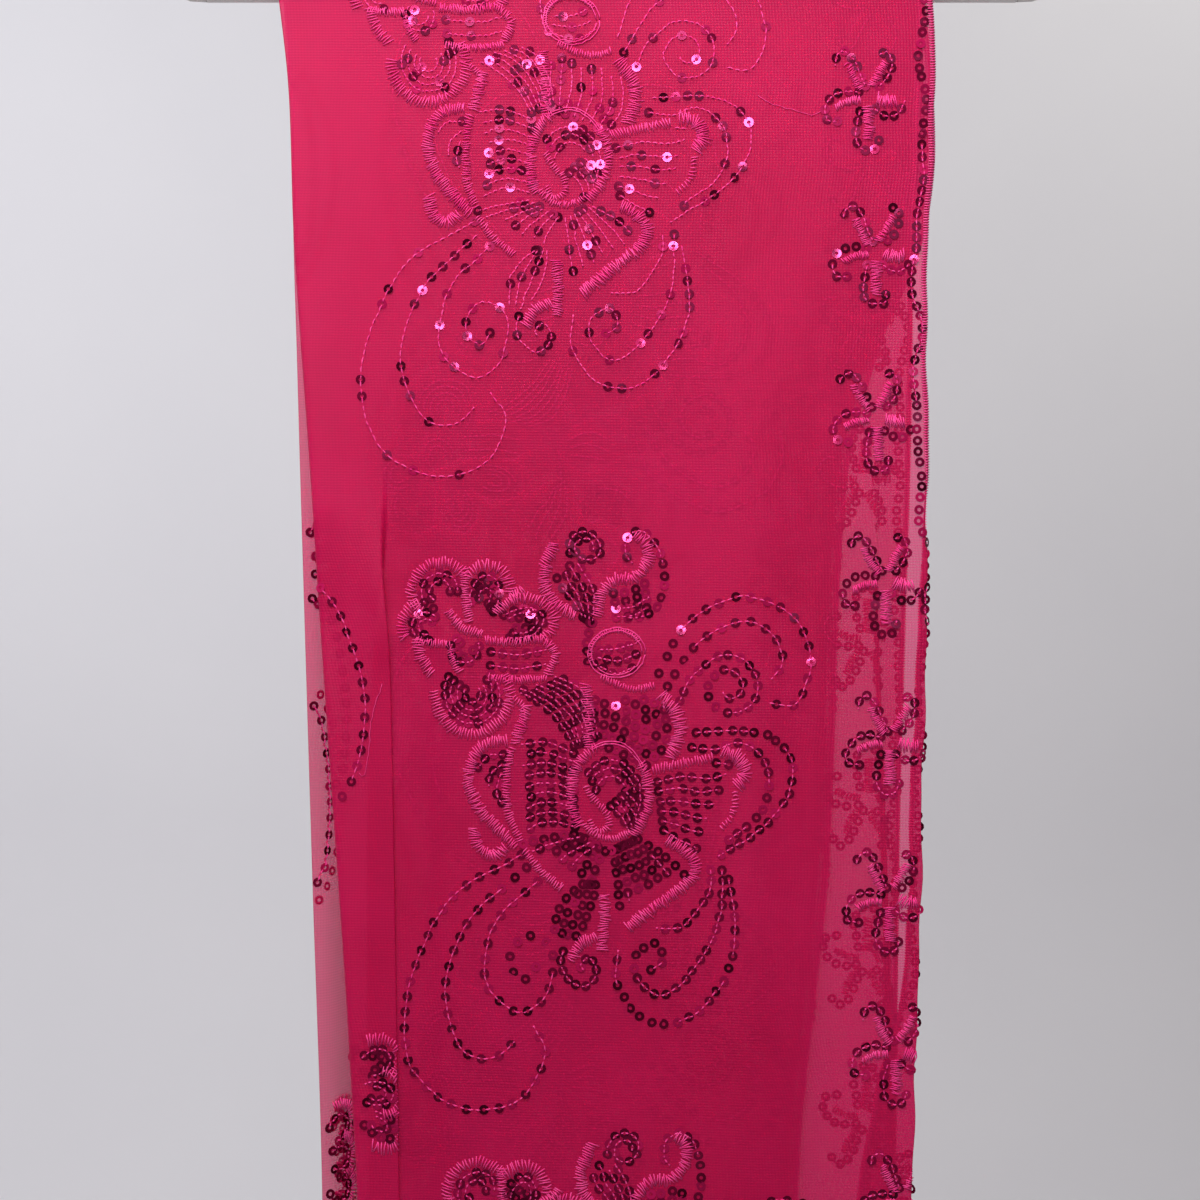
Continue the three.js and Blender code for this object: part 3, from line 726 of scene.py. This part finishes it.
def stitchOut(motif, part, edge, away, along, way=1, kept=1):
    plan = planOf(motif)
    store = sewn.setdefault(part, {"sequins": [], "strands": []})
    turns = len(sewing["turns"])

    def lay(points):
        return np.column_stack([np.full(len(points), edge), away - points[:, 0], along - way * points[:, 1]])

    def fits(place):
        return alongEnds[0] < place[:, 2].min() and place[:, 2].max() < alongEnds[1]

    for curve, pitch, paintedLightShare, shown in plan["sequins"]:
        lengths = lengthAlong(curve)
        count = max(int(lengths[-1] / pitch), 1)
        spots = np.linspace(0, count * pitch, count + 1) + draw.normal(0, sewing["rowScatter"], count + 1)
        spots = np.clip(spots, 0, lengths[-1])
        middle = atLengths(curve, lengths, spots)
        ahead = atLengths(curve, lengths, np.minimum(spots + probe["across"], lengths[-1]))
        behind = atLengths(curve, lengths, np.maximum(spots - probe["across"], 0))
        wobble = draw.normal(0, sewing["spotScatter"], middle.shape)
        place, heading = lay(middle + wobble), lay(ahead)[:, 1:] - lay(behind)[:, 1:]
        # painted light: the share of sequins so chosen gets the lighter rose tone, the rest stay dark
        tone = np.where(draw.random(len(place)) < paintedLightShare, draw.uniform(0.55, 1, len(place)),
                        draw.uniform(0, 0.3, len(place)))
        onCloth = (place[:, 2] > alongEnds[0]) & (place[:, 2] < alongEnds[1])
        onCloth &= draw.random(len(place)) < kept
        store["sequins"].append(np.column_stack([place, heading, tone])[onCloth])
        # the thread comes up through each hole, goes down beyond the sequin's edge and makes one more
        # stitch to the next, where it lies on top; elsewhere it runs underneath
        stops = (spots[:, None] + np.array(sewing["turns"]) * pitch).ravel()
        heights = np.tile(sewing["turnHeights"], len(spots))
        inside = stops <= lengths[-1]
        wobbled = atLengths(curve, lengths, stops[inside]) + np.repeat(wobble, turns, axis=0)[inside]
        strand = np.column_stack([lay(wobbled), heights[inside]])
        group = 0
        while group < len(spots):
            run = int(draw.integers(2, 7))
            stretch = strand[turns * group: turns * (group + run) + 1]
            if draw.random() < (shown if kept == 1 else 1) and len(stretch) > 1 and fits(stretch):
                store["strands"].append((stretch, sewing["threadRadius"]))
            group += run
    for curve, length, gap, lean in plan["satin"]:
        lengths = lengthAlong(curve)
        spots = np.arange(gap / 2, lengths[-1], gap)
        middle = atLengths(curve, lengths, spots)
        ahead = unit(atLengths(curve, lengths, spots + 0.4) - atLengths(curve, lengths, spots - 0.4))
        angle = lean * np.sin(spots / draw.uniform(2.5, 5) + draw.uniform(0, 6))
        angle += draw.normal(0, sewing["strokeLean"], len(spots))
        cos, sin = np.cos(angle), np.sin(angle)
        x, y = ahead.T
        normal = np.column_stack([-y * cos - x * sin, x * cos - y * sin])
        outward = length / 2 * draw.uniform(0.65, 1.3, (len(spots), 1))
        inward = length / 2 * draw.uniform(0.65, 1.15, (len(spots), 1))
        starts, ends = middle - normal * inward, middle + normal * outward
        bowed = (starts + ends) / 2 + ahead * draw.normal(0, sewing["strokeBow"], (len(spots), 1))
        for start, bow, end in zip(starts, bowed, ends):
            strand = np.column_stack([lay(np.array([start, bow, end])), sewing["strokeHeights"]])
            if fits(strand):
                store["strands"].append((strand, sewing["satinRadius"]))
    for curve, radius in plan["outline"]:
        lengths = lengthAlong(curve)
        stops = np.arange(0, lengths[-1], sewing["outlineStep"])
        points = atLengths(curve, lengths, stops) + draw.normal(0, sewing["outlineScatter"], (len(stops), 2))
        heights = np.tile(sewing["outlineHeights"], len(stops))[:len(stops)]
        strand = np.column_stack([lay(points), heights])
        if fits(strand):
            store["strands"].append((strand, radius))


def partName(side, along):
    return side + ("_front" if along > 0 else "_back")


# Where the motifs of the repeat stand: their distance from an edge and their place along the cloth. A list
# says it for the first ones in front of the bar, and its ends for all others.
repeats = [
    {
        "motif": flowerSpray, "numbers": range(-3, 4), "first": 89, "step": 266,
        "away": (153.6, 133.6, 112),
        "drift": (0, 0, -14.5),
        "innerFirst": 149, "innerAway": 137,
        "kept": 0.45,  # the share of its sequins that is left on the one nearest the bar
    },
    {
        "motif": starSprig, "numbers": range(-14, 13), "first": 60, "step": 66.8,
        "away": (27.6, 21.6, 21.8, 19.6, 16.1, 15.2, 10.3, 5.4),
        "drift": (0, -2, 0.5, 2, 2, 1, -2, -7, 0),
        "innerFirst": 88, "innerAway": 20, "kept": 1,
    },
]
vine = {"away": 4.5, "backStart": -3, "endGap": 6}
foldMotifs = {
    "fold_front": {"rings": (314, 578, 842), "petals": (480, 744), "petalsAway": -2},
    "fold_back": {"rings": (-88, -352, -616), "petals": (-255, -509, -763), "petalsAway": 0},
}


def listed(values, number):
    return values[min(max(number, 0), len(values) - 1)]


def sewAll():
    for lie in repeats:
        for number in lie["numbers"]:
            along = lie["first"] + lie["step"] * number + listed(lie["drift"], number)
            away, kept = listed(lie["away"], number), lie["kept"] if number == 0 else 1
            stitchOut(lie["motif"], partName("outer", along), fromTurn, away, along, kept=kept)
            along = lie["innerFirst"] + lie["step"] * number
            stitchOut(lie["motif"], partName("inner", along), fromInner, lie["innerAway"], along, -1)
    for side, edge in (("outer", fromOuter), ("inner", fromInner)):
        for end, reach, start in ((1, alongEnds[1], 0), (-1, -alongEnds[0], vine["backStart"])):
            stitchOut(edgeVine(reach - vine["endGap"]), partName(side, end), edge, vine["away"], start, end)
    stitchOut(strayThread, "outer_front", fromOuter, 60, 64)
    stitchOut(foldThread, "fold_front", fromFold, 0, 314)
    for part, places in foldMotifs.items():
        for along in places["rings"]:
            stitchOut(ovalRing, part, fromFold, 0, along)
        for along in places["petals"]:
            stitchOut(smallPetals, part, fromFold, places["petalsAway"], along)


sewAll()
print("sewing planned:", {part: sum(map(len, store["sequins"])) for part, store in sewn.items()})


def meshOf(name, verts, faces):
    mesh = bpy.data.meshes.new(name)
    mesh.from_pydata((verts * mm).tolist(), [], faces)
    return mesh


# Sequins: rings of thin film with a low crown, joined into one mesh for each part of the cloth.
def sequinMesh(name, rows):
    edge, away, along, headAway, headAlong, tone = rows.T
    point, across, down, normal = clothFrame(edge, away, along)
    side = np.where(edge == fromInner, -1, 1)
    ahead = unit(across * (side * headAway)[:, None] + down * headAlong[:, None])
    beside = np.cross(normal, ahead)
    lean = np.radians(draw.normal(0, sewing["tilt"], (len(rows), 2)))
    normal = unit(normal + ahead * lean[:, :1] + beside * lean[:, 1:])
    ahead = unit(ahead - normal * np.sum(ahead * normal, axis=1, keepdims=True))
    beside = np.cross(normal, ahead)
    sides = sewing["sides"]
    turn = 2 * np.pi * np.arange(sides) / sides
    rings = ((sewing["sequinRadius"], 0), (sewing["holeRadius"], sewing["crown"]))
    template = np.array([(radius * math.cos(angle), radius * math.sin(angle), height + sewing["lift"])
                         for radius, height in rings for angle in turn])
    x, y, z = template[None, :, :1], template[None, :, 1:2], template[None, :, 2:]
    verts = point[:, None] + x * ahead[:, None] + y * beside[:, None] + z * normal[:, None]
    faces = [(i, (i + 1) % sides, sides + (i + 1) % sides, sides + i) for i in range(sides)]
    count = len(template)
    allFaces = (np.array(faces)[None] + np.arange(len(rows))[:, None, None] * count).reshape(-1, 4)
    mesh = meshOf(name, verts.reshape(-1, 3), allFaces.tolist())
    attribute = mesh.attributes.new("tone", "FLOAT", "POINT")
    attribute.data.foreach_set("value", np.repeat(tone, count))
    return mesh


# Threads: three-sided strands with closed ends, joined in the same way.
def strandMesh(name, points, normals, starts, radii):
    following = np.append(starts[1:], True)
    index = np.arange(len(points))
    before = np.where(starts, index, index - 1)
    after = np.where(following, index, index + 1)
    ahead = unit(points[after] - points[before])
    beside = unit(np.cross(ahead, normals))
    above = np.cross(beside, ahead)
    verts = np.stack([
        points + radii[:, None] * (beside * math.cos(angle) + above * math.sin(angle))
        for angle in np.radians((90, 210, 330))
    ], axis=1).reshape(-1, 3)
    joined = index[~following] * 3
    faces = []
    for k in range(3):
        m = (k + 1) % 3
        faces += np.column_stack([joined + k, joined + m, joined + 3 + m, joined + 3 + k]).tolist()
    first, last = index[starts] * 3, index[following] * 3
    faces += np.column_stack([first + 2, first + 1, first]).tolist()
    faces += np.column_stack([last, last + 1, last + 2]).tolist()
    mesh = meshOf(name, verts, faces)
    mesh.polygons.foreach_set("use_smooth", [True] * len(mesh.polygons))
    return mesh


def sewnStrands(name, strands):
    places = np.vstack([strand for strand, _ in strands])
    point, _, _, normal = clothFrame(places[:, 0], places[:, 1], places[:, 2])
    sizes = [len(strand) for strand, _ in strands]
    starts = np.zeros(len(places), bool)
    starts[np.concatenate([[0], np.cumsum(sizes)[:-1]])] = True
    radii = np.repeat([radius for _, radius in strands], sizes)
    return strandMesh(name, point + normal * places[:, 3:], normal, starts, radii)


# Sequins punched from polyester film, dark and glossy. The dark maroon is painted reflection, standing in for
# the dark room that the film reflects; the lighter rose of some is painted light.
def sequinMaterial():
    material, tree = newMaterial("dyed_sequin_film")
    tone = addNode(tree, "Attribute", attribute_name="tone")
    # tone blends the dark maroon, painted reflection of a dark room, into the lighter rose of painted light
    colour = addNode(tree, "Mix", {"Factor": tone.outputs["Fac"], "A": "#2a0310", "B": "#a8154c"},
                     data_type="RGBA")
    place = addNode(tree, "TexCoord").outputs["Object"]
    scuff = addNode(tree, "TexNoise", {"Vector": place, "Scale": 700, "Detail": 2})
    gloss = addNode(tree, "MapRange", {"Value": scuff, "To Min": 0.06, "To Max": 0.13})
    surfaceOf(tree, addNode(tree, "BsdfPrincipled", {
        "Base Color": colour, "Roughness": gloss, "IOR": 1.6,
        "Specular Tint": "#ff5a9c",
    }))
    return material


# Viscose embroidery thread: brighter than the net, with the soft gloss of its twist.
def threadMaterial(name, darkHex, lightHex):
    material, tree = newMaterial(name)
    place = addNode(tree, "TexCoord").outputs["Object"]
    patch = addNode(tree, "TexNoise", {"Vector": place, "Scale": 90, "Detail": 2})
    twist = addNode(tree, "TexNoise", {"Vector": place, "Scale": 1600, "Detail": 1})
    both = addNode(tree, "Math", {0: patch, 1: twist}, operation="MULTIPLY")
    share = addNode(tree, "MapRange", {"Value": both, "From Min": 0.12, "From Max": 0.4})
    colour = addNode(tree, "Mix", {"Factor": share, "A": darkHex, "B": lightHex}, data_type="RGBA")
    bump = addNode(tree, "Bump", {"Strength": 0.4, "Distance": 0.0002, "Height": twist})
    surfaceOf(tree, addNode(tree, "BsdfPrincipled", {
        "Base Color": colour, "Roughness": 0.42, "Specular IOR Level": 0.4,
        "Specular Tint": "#ff8fc0", "Sheen Weight": 0.2, "Sheen Tint": "#ff6fb0",
        "Normal": bump,
    }))
    return material


def buildSewing():
    film = sequinMaterial()
    viscose = threadMaterial("viscose_thread", "#e4277c", "#f6589f")
    pieces = []
    for part, store in sewn.items():
        mesh = sequinMesh("sequins_" + part, np.vstack(store["sequins"]))
        pieces.append(finishPiece(mesh, film))
        mesh = sewnStrands("threads_" + part, store["strands"])
        pieces.append(finishPiece(mesh, viscose))
    return pieces


sewnPieces = buildSewing()
print("sewing made:", {piece.name: len(piece.data.polygons) for piece in sewnPieces})


# Overlocked edge: loops of thread over all four edges.
edging = {"width": 2.1, "pitch": 1.1, "radius": 0.36, "stand": 0.35, "cornerGap": 1}


def loopsOver(inside, edgePoint, normal):  # strands from one face of the cloth round its edge to the other
    outward = unit(edgePoint - inside)
    stand = edging["stand"]
    nextInside = np.roll(inside, -1, axis=0)
    nextInside[-1] = inside[-1]
    corners = [inside + normal * stand, edgePoint + (outward + normal) * stand * 0.8,
               edgePoint + (outward - normal) * stand * 0.8, nextInside - normal * stand]
    return np.stack(corners, axis=1)


def buildEdging():
    width, pitch, gap = (edging[name] for name in ("width", "pitch", "cornerGap"))
    along = np.arange(rowAlong[0] + gap, rowAlong[-1] - gap, pitch)
    # each run of loops: the edge it is measured from, its places, and its step inwards
    runs = [(edge, np.zeros(len(along)), along, width, 0) for edge in (fromOuter, fromInner)]
    for row, inward in ((0, width), (-1, -width)):
        across = np.arange(gap, fullLengths[row] - gap, pitch)
        runs.append((fromOuter, across, np.full(len(across), rowAlong[row]), 0, inward))
    strands, normals = [], []
    for edge, away, along, awayStep, alongStep in runs:
        code = np.full(len(along), edge)
        inside, _, _, normal = clothFrame(code, away + awayStep, along + alongStep)
        strands.append(loopsOver(inside, clothPoint(code, away, along), normal))
        normals.append(normal)
    loops = np.vstack(strands)
    count = loops.shape[1]
    starts = np.tile([True] + [False] * (count - 1), len(loops))
    loopNormals = np.repeat(np.vstack(normals), count, axis=0)
    radii = np.full(len(starts), edging["radius"])
    mesh = strandMesh("shawl_edging", loops.reshape(-1, 3), loopNormals, starts, radii)
    return finishPiece(mesh, threadMaterial("overlock_thread", "#e83d86", "#fb6ca8"))


edgingPiece = buildEdging()
print("edging made:", len(edgingPiece.data.polygons), "faces")


# Injection-moulded polystyrene: white, smooth and slightly glossy, with a faint waviness in its highlights.
def hangerMaterial():
    material, tree = newMaterial("moulded_white_plastic")
    place = addNode(tree, "TexCoord").outputs["Object"]
    wave = addNode(tree, "TexNoise", {"Vector": place, "Scale": 60, "Detail": 3})
    grain = addNode(tree, "TexNoise", {"Vector": place, "Scale": 900, "Detail": 2})
    colour = addNode(tree, "Mix", {"Factor": wave, "A": "#e3e2de", "B": "#eeedea"}, data_type="RGBA")
    gloss = addNode(tree, "MapRange", {"Value": grain, "To Min": 0.3, "To Max": 0.42})
    height = addNode(tree, "Math", {0: wave, 1: grain}, operation="ADD")
    bump = addNode(tree, "Bump", {"Strength": 0.12, "Distance": 0.0003, "Height": height})
    surfaceOf(tree, addNode(tree, "BsdfPrincipled", {
        "Base Color": colour, "Roughness": gloss, "IOR": 1.5,
        "Normal": bump,
    }))
    return material


plastic = hangerMaterial()
for nodeName in ("hanger_arms", "hanger_bar", "hanger_hook"):
    hangerPart = bpy.data.objects[nodeName]
    for materialSlot in hangerPart.material_slots:
        materialSlot.material = plastic
print("hanger finished")


# The studio: a pale floor that sweeps up into a wall, and soft lights.
studio = {
    "floorFront": -4, "floorZ": -1.75, "backdropY": 2.6, "width": 9, "height": 4.6,
    "sweep": 0.9, "sweepSteps": 16, "worldColour": "#dcd8d4", "worldStrength": 0.17,
}
# each light's place, aim, size in metres, watts and colour
lights = {
    "key": ((-0.15, -0.55, 0.36), (0, 0, -0.1), (0.6, 0.5), 11.8, "#fff0fb"),
    "window": ((0.05, -2.05, 0.35), (0, 0, -0.3), (1.0, 0.6), 3.8, "#fff6fc"),
    "sparkle": ((-0.06, -2.0, 0.22), (0, 0, -0.3), (0.2, 0.18), 11, "#ffffff"),
    "wallLeft": ((-1.8, 0.3, 0.9), (-0.7, 2.6, -0.3), (1.4, 1.4), 44, "#f8f8ff"),
    "wallRight": ((1.6, 1.3, 1.4), (1.0, 2.6, 0.7), (0.9, 0.9), 13, "#fbf8f4"),
}


def paleMaterial():
    material, tree = newMaterial("matt_wall_paint")
    place = addNode(tree, "TexCoord").outputs["Object"]
    stipple = addNode(tree, "TexNoise", {"Vector": place, "Scale": 3, "Detail": 5})
    colour = addNode(tree, "Mix", {"Factor": stipple, "A": "#e4e4e6", "B": "#e9e9ea"}, data_type="RGBA")
    surfaceOf(tree, addNode(tree, "BsdfPrincipled", {
        "Base Color": colour, "Roughness": 0.9, "Specular IOR Level": 0.1,
    }))
    return material


def buildBackdrop():
    shape = bmesh.new()
    half = studio["width"] / 2
    y, z, radius = studio["backdropY"], studio["floorZ"], studio["sweep"]
    start = shape.verts.new((-half, studio["floorFront"], z))
    path = [start, shape.verts.new((-half, y - radius, z))]
    edges = [shape.edges.new(path)]
    turned = bmesh.ops.spin(shape, geom=[path[1]], cent=(-half, y - radius, z + radius), axis=(1, 0, 0),
                            angle=math.pi / 2, steps=studio["sweepSteps"])
    end = [item for item in turned["geom_last"] if isinstance(item, bmesh.types.BMVert)][0]
    top = shape.verts.new((-half, y, z + studio["height"]))
    edges.append(shape.edges.new([end, top]))
    swept = bmesh.ops.extrude_edge_only(shape, edges=shape.edges[:])
    moved = [item for item in swept["geom"] if isinstance(item, bmesh.types.BMVert)]
    bmesh.ops.translate(shape, verts=moved, vec=(2 * half, 0, 0))
    bmesh.ops.recalc_face_normals(shape, faces=shape.faces[:])
    for face in shape.faces:
        face.smooth = True
    mesh = takeMesh("backdrop", shape)
    mesh.materials.append(paleMaterial())
    backdrop = addObject("backdrop", mesh)


def addLight(name, place, aim, size, power, hexColour):
    data = bpy.data.lights.new(name, "AREA")
    data.shape = "RECTANGLE"
    data.size, data.size_y = size
    data.energy = power
    data.color = linear(hexColour)[:3]
    light = addObject(name, data)
    light.location = place
    light.rotation_euler = (Vector(aim) - Vector(place)).to_track_quat("-Z", "Y").to_euler()


def buildStudio():
    buildBackdrop()
    world = bpy.data.worlds.new("studio")
    bpy.context.scene.world = world
    world.use_nodes = True
    background = world.node_tree.nodes["Background"]
    background.inputs["Color"].default_value = linear(studio["worldColour"])
    background.inputs["Strength"].default_value = studio["worldStrength"]
    for name, settings in lights.items():
        addLight(name, *settings)
    bpy.context.scene.view_settings.view_transform = "Standard"


camera = {"place": (-0.005, -0.759, -0.45), "lens": 53.6}


def buildCamera():
    data = bpy.data.cameras.new("camera")
    data.lens = camera["lens"]
    view = addObject("camera", data)
    view.location = camera["place"]
    view.rotation_euler = (math.pi / 2, 0, 0)
    bpy.context.scene.camera = view


buildStudio()
buildCamera()
print("studio set")
